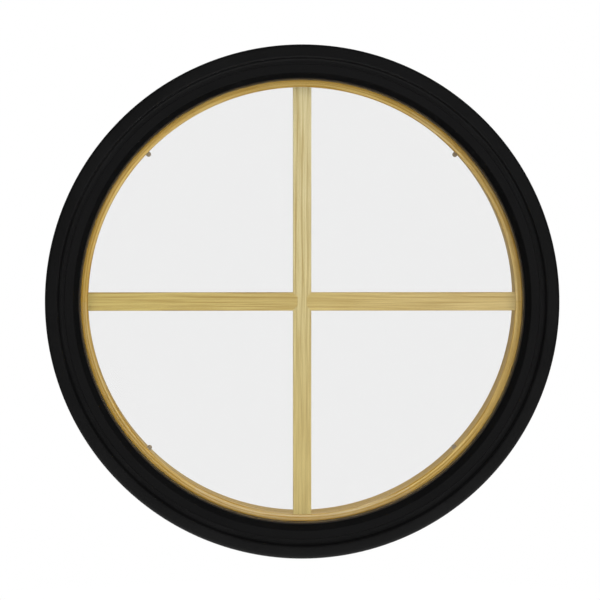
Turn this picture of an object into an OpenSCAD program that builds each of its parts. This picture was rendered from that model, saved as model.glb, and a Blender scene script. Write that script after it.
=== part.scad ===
// Fixed round window: black clad exterior casing, sealed double glazing, deep pine jamb
// and a removable pine grille with a full surround, held by four clips.
// The window's axis lies along Y: -Y is outdoors, +Y is the room and +Z is up.
// The origin is on the axis, in the plane of the wall's outer face.
// Sections are drawn as [radius, depth] and turned about the axis.

/* [Overall] */
// Outside diameter of the casing
overall_d = 609.6; // [500:0.1:900]
// How far the casing stands out from the wall
casing_proj = 31.75; // [28:0.05:45]
// How far the jamb reaches into the wall from its outer face
jamb_depth = 115.9; // [80:0.1:220]

/* [Exterior casing] */
// Wall of the casing extrusion
casing_wall = 1.8; // [1.4:0.1:2.4]
// How far the casing laps over the wall beyond the jamb
casing_lap = 15.9; // [13:0.1:30]
// Radius of the rim's outer front corner
rim_corner = 4.75; // [2.5:0.05:6]
// Radius of the rim's inner front edge
rim_round = 3; // [2.5:0.1:4]
// Radius of the cove between the rim and the bead
cove_r = 4.25; // [3:0.05:6]
// Flat between the cove and the bead's joint
cove_land = 2.45; // [2:0.05:4]
// Width of the foot that lies on the wall
foot_w = 10.8; // [6:0.1:12]
// How far the locating rib reaches over the outside of the jamb
rib_reach = 8; // [4:0.5:10]
// Gap between the casing's inner leg and the glass's setting blocks
leg_gap = 1; // [0.5:0.1:2]
// Number of screws that hold the casing to the jamb
casing_screw_count = 8; // [4:1:12]

/* [Glazing bead] */
// Wall of the bead extrusion
bead_wall = 1.5; // [1.2:0.1:2]
// How far the bead covers the edge of the glass
bead_cover = 8.5; // [7:0.1:11]
// Width of the sloped reveal, seen from the front
reveal_run = 4.4; // [3:0.1:7]
// Radius of the edge between the bead's face and its reveal
bead_round = 1.2; // [0.8:0.1:2]
// Depth of the bead's seat, from its face to the front of the jamb
bead_seat = 8.5; // [8:0.1:12]
// Width of the toe that presses on the gasket
toe_w = 5.5; // [4:0.1:7]
// Depth of the groove that the snap leg locks into
snap_depth = 0.7; // [0.5:0.05:0.9]
// Width of that groove
groove_w = 2.6; // [2:0.1:3]
// Wall left between the groove and the casing's web
groove_land = 1.4; // [1:0.1:2]
// Open joint between the bead and the casing
bead_joint = 0.3; // [0.2:0.05:0.5]
// Thickness of the gasket between the bead and the glass
gasket_t = 2.2; // [1.5:0.1:3]

/* [Double glazing] */
// How far the outer face of the glass stands out from the wall
glass_set = 3; // [0:0.1:5]
// Thickness of each pane
pane_t = 3; // [2.5:0.1:5]
// Air space between the panes
cavity = 13.05; // [10:0.05:16]
// Height of the spacer bar, along the radius
spacer_h = 6.5; // [5.5:0.1:8]
// Wall of the hollow spacer bar
spacer_wall = 0.5; // [0.3:0.05:0.8]
// Chamfer on the spacer bar's two back corners
spacer_chamfer = 2; // [1:0.1:2.5]
// Thickness of each butyl seal between the spacer bar and a pane
butyl_t = 0.3; // [0.2:0.05:0.6]
// How far the butyl stands back from the spacer bar's sight edge
seal_inset = 1.6; // [1:0.1:2.5]
// Depth of the edge sealant behind the spacer bar
sealant_depth = 3.2; // [2.5:0.1:5]
// Seamed chamfer on the edges of the panes
pane_seam = 0.5; // [0.3:0.1:1]
// Gap round the glass that the setting blocks fill
edge_gap = 4.5; // [3:0.1:6]
// Thickness of the glazing tape between the glass and the jamb
tape_t = 1.5; // [1:0.1:3]
// Length of a setting block round the edge of the glass
block_len = 50; // [30:1:80]
// Angle of each setting block from the lowest point
block_angle = 30; // [20:1:40]

/* [Jamb] */
// Thickness of the jamb, along the radius
jamb_t = 20.9; // [18:0.1:30]
// Wood left outside the glazing rabbet
rabbet_wall = 8.4; // [7:0.1:10]
// Radius of the jamb's eased edges
jamb_ease = 2; // [1:0.1:4]
// Depth of the relief round the jamb in front of the wall's face, under the casing's rib
relief_depth = 0.8; // [0.6:0.1:1.5]

/* [Grille] */
// Width of a grille bar
bar_w = 22.2; // [16:0.1:32]
// Thickness of the grille
bar_t = 12; // [10:0.1:16]
// Width of the bevels on the room side of the bars
bar_bevel = 6; // [3:0.1:7]
// Depth of those bevels
bevel_depth = 4.4; // [2:0.1:6]
// Radius of the eased edges on the outdoor side
bar_ease = 1.2; // [0.6:0.1:2]
// Width of the surround ring, along the radius
surround_w = 8.7; // [8:0.1:14]
// Width of the bevel on the room side of the surround
surround_bevel = 4; // [2:0.1:4.5]
// Gap between the surround and the bore of the jamb
surround_gap = 0.8; // [0.5:0.1:1.5]
// Gap between the grille and the glass
glass_gap = 0.3; // [0.2:0.05:1]
// Diameter of the grille's dowels
dowel_d = 5; // [4:0.1:6]
// Depth of a dowel in a bar
dowel_depth = 12; // [8:0.5:20]
// Depth of a dowel in the surround
dowel_seat = 5; // [3:0.1:6]

/* [Clips and screws] */
// Thickness of a clip's sheet
clip_t = 1.2; // [0.8:0.1:1.6]
// Outer radius of the clip's bend
clip_bend = 1; // [0.5:0.1:1.1]
// Width of the clip's leg on the jamb
clip_leg_w = 12; // [9:0.5:16]
// Height of the clip's leg along the jamb
clip_leg_h = 16; // [12:0.5:24]
// Height of the screw's hole above the tongue's underside
clip_hole_h = 9.6; // [6:0.1:11]
// Width of the clip's tongue over the surround
tongue_w = 6; // [4:0.1:8]
// How far the tongue reaches past the surround
tongue_reach = 4.5; // [1:0.1:8]
// Angle of the clips between the bars
clip_angle = 43.8; // [35:0.1:55]
// Shank diameter of the screws
screw_d = 2.9; // [2.2:0.1:3.5]
// Head diameter of the screws
screw_head_d = 5.6; // [4.5:0.1:6.5]
// Head height of the screws
screw_head_h = 1.9; // [1.4:0.1:2.2]
// Length of the clip screws below the head
clip_screw_l = 12.7; // [9:0.1:16]
// Length of the casing screws below the head
casing_screw_l = 8; // [6:0.1:8.5]

/* [Fits] */
// Clearance between pieces that are put together
fit_gap = 0.1; // [0.05:0.05:0.2]

/* [Hidden] */

// Facets of the turned rings and of small rounds
ring_fn = 240;
$fn = 48;
// How far cutting shapes run past what they cut
over = 1;

// Radii, from the outside inwards
casing_r = overall_d / 2;
jamb_r = casing_r - casing_lap;
rabbet_r = jamb_r - rabbet_wall;
bore_r = jamb_r - jamb_t;
casing_inner_r = rabbet_r + casing_wall;
rim_inner_r = casing_inner_r + cove_land + cove_r;
leg_outer_r = rabbet_r - fit_gap;
leg_r = leg_outer_r - casing_wall;
relief_r = jamb_r - relief_depth;
rib_r = relief_r + bead_joint;
bead_r = casing_inner_r - bead_joint;
igu_r = rabbet_r - edge_gap;
sight_r = igu_r - bead_cover;
reveal_r = sight_r + reveal_run;
spacer_back_r = igu_r - sealant_depth;
spacer_r = spacer_back_r - spacer_h;
surround_outer_r = bore_r - surround_gap;
surround_r = surround_outer_r - surround_w;

// Depths, from outdoors to the room
rim_y = -casing_proj;
face_y = rim_y + rim_round + cove_r;
jamb_front_y = face_y + bead_seat;
glass_y = -glass_set;
toe_y = glass_y - gasket_t;
leg_end_y = glass_y - leg_gap;
cavity_y = glass_y + pane_t;
inner_pane_y = cavity_y + cavity;
igu_back_y = inner_pane_y + pane_t;
shoulder_y = igu_back_y + tape_t;
grille_y = igu_back_y + glass_gap;
grille_back_y = grille_y + bar_t;
dowel_y = grille_y + bar_t / 2;

// Snap groove in the casing, in front of the web that lies on the jamb
groove_y = jamb_front_y - casing_wall - groove_land - groove_w;

// Places of the screws
clip_screw_y = grille_back_y + clip_hole_h;
casing_screw_y = (jamb_front_y + leg_end_y) / 2;
clip_angles = [clip_angle, 180 - clip_angle, 180 + clip_angle, -clip_angle];
casing_screw_angles = [for (i = [0:casing_screw_count - 1]) i * 360 / casing_screw_count];

// The notch in the upright bar leaves a waist as wide as the bar's flat
waist = bar_w - 2 * bar_bevel;

black_metal = "#1b1c1d";
pine = "#c8a868";
clear_glass = [0.84, 0.92, 0.90, 0.35];
mill_metal = "#b4b6b5";
black_rubber = "#2a2a2b";
clip_metal = "#7d7364";

// Shared shapes

// Turns a section of [radius, depth] about the window's axis
module turned(angle = 360)
    rotate([-90, 0, 0]) rotate_extrude(angle = angle, $fn = ring_fn) children();

// Rectangle of a section between two radii and two depths
module band(r0, r1, y0, y1)
    translate([r0, y0]) square([r1 - r0, y1 - y0]);

// What a round of radius rad takes off the corner at p, whose edges leave along a and b
module ease(p, a, b, rad) {
    half = acos(a * b) / 2;
    middle = (a + b) / norm(a + b);
    centre = p + middle * rad / sin(half);
    reach = rad / tan(half);
    difference() {
        polygon([p - middle * rad, p + a * reach, centre, p + b * reach]);
        translate(centre) circle(rad);
    }
}

// Turns what is drawn along +X to an angle, counted from +X towards +Z
module at_angle(a)
    rotate([0, -a, 0]) children();

// Round bar along +X from one radius to another
module radial_rod(r0, r1, y, d)
    translate([r0, y, 0]) rotate([0, 90, 0]) cylinder(h = r1 - r0, d = d);

// Pan-head screw along +X with its head's seat at the given radius
module pan_screw(seat_r, y, length) {
    tip_l = screw_d;
    tip_d = screw_d / 5;
    recess_l = screw_head_d / 2;
    recess_w = screw_head_d / 6;
    recess_h = screw_head_h / 2;
    crown = screw_head_h * 2 / 3;
    translate([seat_r, y, 0]) rotate([0, 90, 0]) {
        difference() {
            translate([0, 0, -screw_head_h]) rotate_extrude()
                difference() {
                    square([screw_head_d / 2, screw_head_h]);
                    ease([screw_head_d / 2, 0], [-1, 0], [0, 1], crown);
                }
            for (turn = [0, 90])
                rotate(turn) translate([-recess_l / 2, -recess_w / 2, -screw_head_h - over])
                    cube([recess_l, recess_w, recess_h + over]);
        }
        cylinder(h = length - tip_l, d = screw_d);
        translate([0, 0, length - tip_l]) cylinder(h = tip_l, d1 = screw_d, d2 = tip_d);
    }
}

// Exterior casing and bead

// Filled front outline of the casing, drawn in by a wall thickness
module casing_outline(inset, back_y) {
    cove_centre = [rim_inner_r - cove_r, face_y - cove_r];
    rim_corner_at = [casing_r - inset, rim_y + inset];
    rim_edge_at = [rim_inner_r + inset, rim_y + inset];
    difference() {
        band(rim_inner_r + inset, casing_r - inset, rim_y + inset, back_y);
        ease(rim_corner_at, [-1, 0], [0, 1], rim_corner - inset);
        ease(rim_edge_at, [1, 0], [0, 1], rim_round - inset);
    }
    band(casing_inner_r + inset, rim_inner_r + inset + fit_gap, face_y + inset, back_y);
    difference() {
        translate(cove_centre) square(cove_r + inset + fit_gap);
        translate(cove_centre) circle(cove_r + inset);
    }
}

module casing_section() {
    difference() {
        casing_outline(0, 0);
        casing_outline(casing_wall, over);
        band(casing_inner_r - over, rim_inner_r, jamb_front_y, over);
        band(casing_inner_r - over, casing_inner_r + snap_depth, groove_y, groove_y + groove_w);
    }
    intersection() {
        casing_outline(0, 0);
        band(rib_r, rib_r + casing_wall, rim_y, jamb_front_y + rib_reach);
    }
    band(casing_r - foot_w, casing_r, -casing_wall, 0);
    band(leg_r, casing_inner_r + casing_wall, jamb_front_y - casing_wall, jamb_front_y);
    band(leg_r, leg_outer_r, jamb_front_y - casing_wall, leg_end_y);
}

module exterior_casing()
    color(black_metal) difference() {
        turned() casing_section();
        for (a = casing_screw_angles)
            at_angle(a) radial_rod(leg_r - over, leg_outer_r + over, casing_screw_y, screw_d + 2 * fit_gap);
    }

module casing_screws()
    color(mill_metal) for (a = casing_screw_angles)
        at_angle(a) pan_screw(leg_r - fit_gap / 2, casing_screw_y, casing_screw_l);

// Thin bead: face, sloped reveal and toe, with a snap leg that ends in a barb
module bead_section() {
    slope = [sight_r - reveal_r, toe_y - face_y];
    slope_dir = slope / norm(slope);
    reveal_back = bead_wall / slope_dir.y;
    face_back_y = face_y + bead_wall;
    toe_front_y = toe_y - bead_wall;
    leg_inner = bead_r - bead_wall;
    snap_end_y = jamb_front_y - casing_wall - bead_joint;
    barb_y = groove_y + fit_gap;
    barb_r = casing_inner_r + snap_depth - fit_gap;
    difference() {
        polygon([
            [bead_r, face_y], [reveal_r, face_y], [sight_r, toe_y], [sight_r + toe_w, toe_y],
            [sight_r + toe_w, toe_front_y],
            [sight_r + reveal_back - bead_wall * slope.x / slope.y, toe_front_y],
            [reveal_r + reveal_back + bead_wall * slope.x / slope.y, face_back_y],
            [leg_inner, face_back_y], [leg_inner, snap_end_y], [leg_inner + bead_wall / 2, snap_end_y],
            [barb_r, barb_y], [bead_r, barb_y]
        ]);
        ease([reveal_r, face_y], [1, 0], slope_dir, bead_round);
    }
}

module glazing_bead()
    color(black_metal) turned() bead_section();

module bead_gasket()
    color(black_rubber) turned()
        polygon([
            [sight_r + bead_joint, toe_y], [sight_r + toe_w, toe_y],
            [sight_r + toe_w, glass_y], [sight_r + 2 * bead_joint, glass_y]
        ]);

// Double glazing

module pane(y0) {
    y1 = y0 + pane_t;
    edge = igu_r - pane_seam;
    turned() polygon([
        [0, y0], [edge, y0], [igu_r, y0 + pane_seam],
        [igu_r, y1 - pane_seam], [edge, y1], [0, y1]
    ]);
}

module outer_pane()
    color(clear_glass) pane(glass_y);

module inner_pane()
    color(clear_glass) pane(inner_pane_y);

// Outline of the spacer bar, drawn in by a thickness
module spacer_outline(inset) {
    y0 = cavity_y + butyl_t + inset;
    y1 = inner_pane_y - butyl_t - inset;
    r0 = spacer_r + inset;
    r1 = spacer_back_r - inset;
    chamfer = spacer_chamfer - inset * (2 - sqrt(2));
    polygon([
        [r0, y0], [r1 - chamfer, y0], [r1, y0 + chamfer],
        [r1, y1 - chamfer], [r1 - chamfer, y1], [r0, y1]
    ]);
}

module spacer_bar()
    color(mill_metal) turned() difference() {
        spacer_outline(0);
        spacer_outline(spacer_wall);
    }

module desiccant_fill()
    color("#d9d2c0") turned() spacer_outline(spacer_wall + fit_gap);

module butyl_seals()
    color(black_rubber) {
        seal_r0 = spacer_r + seal_inset;
        seal_r1 = spacer_back_r - spacer_chamfer;
        turned() band(seal_r0, seal_r1, cavity_y, cavity_y + butyl_t);
        turned() band(seal_r0, seal_r1, inner_pane_y - butyl_t, inner_pane_y);
    }

module edge_sealant()
    color(black_rubber) turned() difference() {
        band(spacer_back_r - spacer_chamfer, igu_r, cavity_y, inner_pane_y);
        spacer_outline(0);
    }

// Setting block under the glass, at an angle from the lowest point
module setting_block(from_lowest) {
    span = block_len / igu_r * 180 / PI;
    color(black_rubber) rotate([0, 90 + from_lowest - span / 2, 0]) turned(span)
        band(igu_r + fit_gap / 2, rabbet_r - fit_gap / 2, glass_y, igu_back_y);
}

module glazing_tape()
    color(black_rubber) turned()
        band(bore_r + tape_t, igu_r - pane_seam, igu_back_y, shoulder_y);

// Jamb

module jamb_section()
    difference() {
        band(bore_r, jamb_r, jamb_front_y, jamb_depth);
        band(bore_r - over, rabbet_r, jamb_front_y - over, shoulder_y);
        band(relief_r, jamb_r + over, jamb_front_y - over, 0);
        ease([bore_r, jamb_depth], [1, 0], [0, -1], jamb_ease);
        ease([jamb_r, jamb_depth], [-1, 0], [0, -1], jamb_ease);
        ease([bore_r, shoulder_y], [1, 0], [0, 1], jamb_ease / 2);
    }

module jamb()
    color(pine) difference() {
        turned() jamb_section();
        for (a = clip_angles)
            at_angle(a) radial_rod(
                bore_r - over, bore_r + clip_screw_l, clip_screw_y, screw_d + 2 * fit_gap);
        for (a = casing_screw_angles)
            at_angle(a) radial_rod(
                rabbet_r - over, leg_r + casing_screw_l + fit_gap, casing_screw_y, screw_d + 2 * fit_gap);
    }

// Grille

// Section of a bar: flat with eased edges outdoors, bevelled towards the room
module bar_section() {
    half = bar_w / 2;
    difference() {
        polygon([
            [-half, 0], [half, 0], [half, bar_t - bevel_depth], [waist / 2, bar_t],
            [-waist / 2, bar_t], [-half, bar_t - bevel_depth]
        ]);
        for (side = [-1, 1])
            ease([side * half, 0], [-side, 0], [0, 1], bar_ease);
    }
}

module surround_section() {
    bevel_y = grille_back_y - bevel_depth;
    difference() {
        polygon([
            [surround_r, grille_y], [surround_outer_r, grille_y], [surround_outer_r, grille_back_y],
            [surround_r + surround_bevel, grille_back_y], [surround_r, bevel_y]
        ]);
        ease([surround_r, grille_y], [1, 0], [0, 1], bar_ease);
        ease([surround_outer_r, grille_y], [-1, 0], [0, 1], bar_ease);
    }
}

// Space inside the surround that the coped ends of the bars fill
module cope_space() {
    end_r = surround_r - fit_gap;
    turned() polygon([
        [0, grille_y - over], [end_r, grille_y - over], [end_r, grille_back_y - bevel_depth],
        [end_r + surround_bevel, grille_back_y], [0, grille_back_y]
    ]);
}

// Straight length of bar along +X, as long as the grille is wide
module bar_blank()
    translate([-surround_outer_r, grille_y, 0]) rotate([0, 90, 0])
        linear_extrude(2 * surround_outer_r) bar_section();

// Plan of a side bar: its inner end is mitred as far as the bevels and then cut square,
// and it stands back by a gap from the notch that it fills
module arrow(gap) {
    tip = waist / 2 + gap;
    half = bar_w / 2;
    translate([0, grille_back_y + over, 0]) rotate([90, 0, 0])
        linear_extrude(bar_t + 2 * over)
            polygon([
                [tip, -waist / 2], [tip + bar_bevel, -half], [surround_outer_r, -half],
                [surround_outer_r, half], [tip + bar_bevel, half], [tip, waist / 2]
            ]);
}

// Dowel that pins a bar's end to the surround, made larger by a clearance
module end_dowel(grow)
    radial_rod(
        surround_r - dowel_depth - grow, surround_r + dowel_seat + grow, dowel_y, dowel_d + 2 * grow);

// Dowel that pins both side bars through the upright's waist
module cross_dowel(grow) {
    reach = waist / 2 + dowel_depth + grow;
    radial_rod(-reach, reach, dowel_y, dowel_d + 2 * grow);
}

module grille_surround()
    color(pine) difference() {
        turned() surround_section();
        for (a = [0:90:270])
            at_angle(a) end_dowel(fit_gap);
    }

module grille_bar_vertical()
    color(pine) difference() {
        intersection() {
            at_angle(90) bar_blank();
            cope_space();
        }
        for (a = [0, 180])
            at_angle(a) arrow(0);
        cross_dowel(fit_gap);
        for (a = [90, 270])
            at_angle(a) end_dowel(fit_gap);
    }

// Side bar that points along +X
module side_bar()
    color(pine) difference() {
        intersection() {
            bar_blank();
            cope_space();
            arrow(fit_gap);
        }
        cross_dowel(fit_gap);
        end_dowel(fit_gap);
    }

module grille_bar_right()
    side_bar();

module grille_bar_left()
    at_angle(180) side_bar();

module grille_dowels()
    color("#d8bf8a") {
        cross_dowel(0);
        for (a = [0:90:270])
            at_angle(a) end_dowel(0);
    }

// Clips

// Bent clip on the bore along +X: a leg on the jamb and a tongue over the surround
module grille_clip(angle) {
    leg_outer = bore_r - fit_gap;
    leg_inner = leg_outer - clip_t;
    tip_r = surround_r - tongue_reach;
    color(clip_metal) at_angle(angle) difference() {
        union() {
            linear_extrude(clip_leg_w, center = true) difference() {
                band(leg_inner, leg_outer, grille_back_y, grille_back_y + clip_leg_h);
                ease([leg_outer, grille_back_y], [-1, 0], [0, 1], clip_bend);
            }
            translate([0, grille_back_y + clip_t, 0]) rotate([90, 0, 0]) linear_extrude(clip_t) {
                translate([tip_r + tongue_w / 2, 0]) circle(d = tongue_w);
                translate([tip_r + tongue_w / 2, -tongue_w / 2])
                    square([leg_inner - tip_r - tongue_w / 2 + fit_gap, tongue_w]);
            }
        }
        radial_rod(leg_inner - over, leg_outer + over, clip_screw_y, screw_d + 2 * fit_gap);
    }
}

module clip_screws()
    color(mill_metal) for (a = clip_angles)
        at_angle(a) pan_screw(bore_r - fit_gap - clip_t, clip_screw_y, clip_screw_l);

exterior_casing();
casing_screws();
glazing_bead();
bead_gasket();
outer_pane();
spacer_bar();
desiccant_fill();
butyl_seals();
edge_sealant();
inner_pane();
setting_block(block_angle);  // setting_block_left
setting_block(-block_angle);  // setting_block_right
glazing_tape();
jamb();
grille_surround();
grille_bar_vertical();
grille_bar_left();
grille_bar_right();
grille_dowels();
grille_clip(clip_angles[0]);  // grille_clip_upper_right
grille_clip(clip_angles[1]);  // grille_clip_upper_left
grille_clip(clip_angles[2]);  // grille_clip_lower_left
grille_clip(clip_angles[3]);  // grille_clip_lower_right
clip_screws();
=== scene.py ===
"""Fixed round window: black clad casing, double glazing, pine jamb and a pine cross grille."""
import math

import bmesh
import bpy
from mathutils import Matrix, Vector


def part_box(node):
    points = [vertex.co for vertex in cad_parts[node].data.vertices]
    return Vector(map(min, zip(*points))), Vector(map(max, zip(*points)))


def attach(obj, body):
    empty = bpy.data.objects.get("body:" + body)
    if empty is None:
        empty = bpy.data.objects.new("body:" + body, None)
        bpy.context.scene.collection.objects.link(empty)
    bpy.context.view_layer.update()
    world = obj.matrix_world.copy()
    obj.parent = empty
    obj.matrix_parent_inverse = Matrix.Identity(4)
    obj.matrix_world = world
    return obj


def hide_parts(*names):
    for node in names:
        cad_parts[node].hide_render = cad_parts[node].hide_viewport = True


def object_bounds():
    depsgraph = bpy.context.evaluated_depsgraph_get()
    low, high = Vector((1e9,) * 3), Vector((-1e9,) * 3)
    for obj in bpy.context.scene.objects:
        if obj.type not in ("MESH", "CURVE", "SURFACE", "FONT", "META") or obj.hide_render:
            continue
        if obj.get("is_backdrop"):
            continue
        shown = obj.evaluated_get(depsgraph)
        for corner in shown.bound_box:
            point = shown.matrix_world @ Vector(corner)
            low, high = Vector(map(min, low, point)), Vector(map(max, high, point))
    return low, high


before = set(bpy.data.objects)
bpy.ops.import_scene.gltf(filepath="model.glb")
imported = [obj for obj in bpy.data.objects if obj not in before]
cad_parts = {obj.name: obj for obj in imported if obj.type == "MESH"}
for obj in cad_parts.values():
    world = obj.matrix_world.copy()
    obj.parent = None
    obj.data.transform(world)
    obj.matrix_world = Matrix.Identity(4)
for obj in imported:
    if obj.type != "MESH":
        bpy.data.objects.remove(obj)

bl_info = {
    "name": "Round Window",
    "version": (1, 0, 0),
    "blender": (4, 5, 0),
    "location": "View3D > Sidebar > Round Window",
    "description": "Builds the visible pieces and finishes of a fixed round window",
    "category": "Add Mesh",
}

MM = 0.001
MERGE_DISTANCE = 0.001 * MM
SHARP_ANGLE = math.radians(28)
BUMP_DEPTH = 0.1 * MM
WHITE = (1, 1, 1, 1)

PANES = ("outer_pane", "inner_pane")

# The bars' ends, each pinned to the surround by a dowel
BAR_ENDS = 4


# Settings

def length(name, description, millimetres):
    """A size property, stored in metres."""
    return bpy.props.FloatProperty(
        name=name, description=description, default=millimetres * MM, unit="LENGTH", precision=5)


def number(name, description, value):
    """A plain number."""
    return bpy.props.FloatProperty(name=name, description=description, default=value)


def count(name, description, value, least=1):
    """A whole number."""
    return bpy.props.IntProperty(name=name, description=description, default=value, min=least)


def colour(name, description, red, green, blue):
    """A colour property, in linear light."""
    return bpy.props.FloatVectorProperty(
        name=name, description=description, default=(red, green, blue), subtype="COLOR",
        size=3, min=0.0, max=1.0)


def place(name, description, x, y, z):
    """A point in the window's frame, in metres."""
    return bpy.props.FloatVectorProperty(
        name=name, description=description, default=(x, y, z), subtype="TRANSLATION", unit="LENGTH", size=3)


def extent(name, description, width, height):
    """The width and height of a lamp, in metres."""
    return bpy.props.FloatVectorProperty(
        name=name, description=description, default=(width, height), unit="LENGTH", size=2)


def watts(name, description, power):
    """The power of a lamp."""
    return bpy.props.FloatProperty(name=name, description=description, default=power, unit="POWER", min=0.0)


class WINDOW_PG_sizes(bpy.types.PropertyGroup):
    """Sizes of the sections that the frame's boxes don't give."""

    ring_steps: count("Ring steps", "Flat steps round each ring", 240, 24)
    round_steps: count("Round steps", "Flat steps in each rounded corner", 7)
    casing_wall: length("Casing wall", "Thickness of the casing's metal", 1.8)
    rim_w: length("Rim width", "Width of the casing's raised rim", 15.8)
    rim_corner: length("Rim corner", "Round on the rim's outer corner", 4.75)
    rim_round: length("Rim round", "Round on the rim's inner corner", 3.0)
    cove_r: length("Cove radius", "Hollow round between the rim and the face", 4.25)
    foot_w: length("Foot width", "Width of the casing's foot on the wall", 10.8)
    rib_reach: length("Rib reach", "How far the casing's rib passes the jamb's front", 8.0)
    joint: length("Joint", "Gap between the casing and the pieces fitted to it", 0.3)
    snap_depth: length("Snap depth", "Depth of the casing's snap groove", 0.7)
    groove_w: length("Groove width", "Width of the casing's snap groove", 2.6)
    groove_land: length("Groove land", "Metal between the groove and the web", 1.4)
    leg_gap: length("Leg gap", "Gap between the casing's leg and the glass", 1.0)
    bead_wall: length("Bead wall", "Thickness of the bead's metal", 1.5)
    reveal_run: length("Reveal run", "How far the bead's reveal slopes inwards", 4.4)
    bead_round: length("Bead round", "Round on the bead's front edge", 1.2)
    toe_w: length("Toe width", "Width of the bead's toe on the gasket", 5.5)
    edge_tint: length("Edge tint", "Width of the tint at a pane's edge", 6.0)
    spacer_show: length("Spacer show", "How far the spacer shows inside the bead", 1.2)
    spacer_wall: length("Spacer wall", "Thickness of the spacer's metal", 0.5)
    spacer_chamfer: length("Spacer chamfer", "Chamfer on the spacer's back corners", 2.0)
    slit_row: length("Slit row", "Distance of each row of slits from the spacer's middle", 1.6)
    slit_half: length("Slit half", "How far a slit is fully dark, from its middle", 0.15)
    slit_fade: length("Slit fade", "Where a slit has faded out, from its middle", 0.3)
    rabbet_wall: length("Rabbet wall", "Jamb left outside the glazing rabbet", 8.4)
    jamb_ease: length("Jamb ease", "Round on the jamb's edges", 2.0)
    relief: length("Relief", "Depth taken off the jamb under the casing's rib", 0.8)
    bore_t: length("Jamb thickness", "Thickness of the jamb towards the room", 20.9)
    surround_w: length("Surround width", "Width of the surround on the glass", 8.7)
    surround_bevel: length("Surround bevel", "Bevel on the surround towards the room", 4.0)
    bevel_depth: length("Bevel depth", "Depth of the bevels towards the room", 4.4)
    bar_ease: length("Bar ease", "Round on the grille's outdoor edges", 1.2)
    fit_gap: length("Fit gap", "Gap between fitted pieces", 0.1)
    screw_d: length("Screw diameter", "Shank of the screws", 2.9)
    screw_count: count("Casing screws", "Screws round the casing", 8)
    clip_screw_l: length("Clip screw length", "How far a clip's screw reaches into the jamb", 12.7)
    clip_angle: bpy.props.FloatProperty(
        name="Clip angle", description="Angle of the clips above and below the level",
        default=math.radians(43.8), subtype="ANGLE")
    dowel_d: length("Dowel diameter", "Wooden pins between the bars and the surround", 5.0)
    hole_steps: count("Hole steps", "Flat steps round each hole", 32, 8)


class WINDOW_PG_finish(bpy.types.PropertyGroup):
    """Colours and texture scales of the finishes."""

    black: colour("Black", "Baked finish of the casing", 0.0030, 0.0030, 0.0031)
    bead_black: colour("Bead", "Baked finish of the bead", 0.0056, 0.0056, 0.0057)
    black_worn: colour("Black, rubbed", "Baked finish where it is rubbed", 0.0046, 0.0046, 0.0047)
    level_left: colour("Level early wood, left", "Pale wood at the level bars' left", 0.61, 0.49, 0.17)
    level_right: colour("Level early wood, right", "Pale wood at the level bars' right", 0.67, 0.525, 0.235)
    level_late: colour("Level late wood", "Growth lines of the level bars", 0.40, 0.27, 0.075)
    upright_low: colour("Upright early wood, low", "Pale wood at the upright's foot", 0.66, 0.54, 0.225)
    upright_high: colour("Upright early wood, high", "Pale wood at the upright's head", 0.735, 0.66, 0.39)
    upright_late: colour("Upright late wood", "Growth lines of the upright bar", 0.45, 0.33, 0.115)
    # The surround's tones are deeper and more orange than the jamb's, partly as painted shade from the bead
    # and casing
    ring_early_shaded: colour("Surround early wood", "Pale wood of the surround", 0.88, 0.66, 0.23)
    ring_late_shaded: colour("Surround late wood", "Growth lines of the surround", 0.54, 0.30, 0.026)
    ring_pale: colour("Surround pale wood", "Pale wood of the surround's palest length", 0.82, 0.70, 0.45)
    jamb_early: colour("Jamb early wood", "Pale wood of the jamb", 0.80, 0.62, 0.29)
    jamb_late: colour("Jamb late wood", "Growth lines of the jamb", 0.50, 0.32, 0.10)
    glass: colour("Glass", "Light that a pane lets through", 0.993, 0.993, 0.993)
    glass_edge: colour("Glass edge", "Tint towards a pane's edge", 0.72, 0.86, 0.80)
    # Far darker than bare mill aluminium: the tone paints the shade between the panes onto the spacer
    metal: colour("Mill aluminium", "Bare metal of the spacer", 0.11, 0.092, 0.072)
    bronze: colour("Bronzed steel", "Sheet metal of the clips", 0.38, 0.33, 0.25)
    bronze_worn: colour("Bronzed steel, rubbed", "Clips where they are rubbed", 0.52, 0.46, 0.36)
    zinc: colour("Zinc", "Plating of the screws", 0.46, 0.47, 0.46)
    zinc_dull: colour("Zinc, dull", "Plating where it is dull", 0.30, 0.31, 0.31)
    rubber: colour("Rubber", "Gasket, seals and blocks", 0.012, 0.012, 0.013)
    rubber_dusty: colour("Rubber, dusty", "Gasket, seals and blocks where dusty", 0.03, 0.03, 0.029)
    desiccant: colour("Desiccant", "Drying granules", 0.70, 0.64, 0.52)
    # The dark tone is painted shade in the gaps between the granules
    desiccant_gap_shade: colour("Desiccant, dark", "Gaps between the granules", 0.36, 0.31, 0.23)
    ring_growth: number("Ring growth lines", "Growth lines per metre of the jamb and surround", 560.0)
    bar_growth: number("Bar growth lines", "Growth lines per metre of the bars", 330.0)
    ring_contrast: number("Ring contrast", "Strength of the rings' growth lines", 2.2)
    bar_contrast: number("Bar contrast", "Strength of the bars' growth lines", 1.0)
    perforations: count("Perforations", "Breathing slits in each row round the spacer", 420)
    jamb_lengths: count("Jamb lengths", "Glued lengths in the jamb's ring", 8)
    ring_lengths: count("Surround lengths", "Glued lengths in the surround's ring", 6)
    ring_seed: count("Surround seed", "Chooses which of the surround's lengths are pale", 117)


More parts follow.
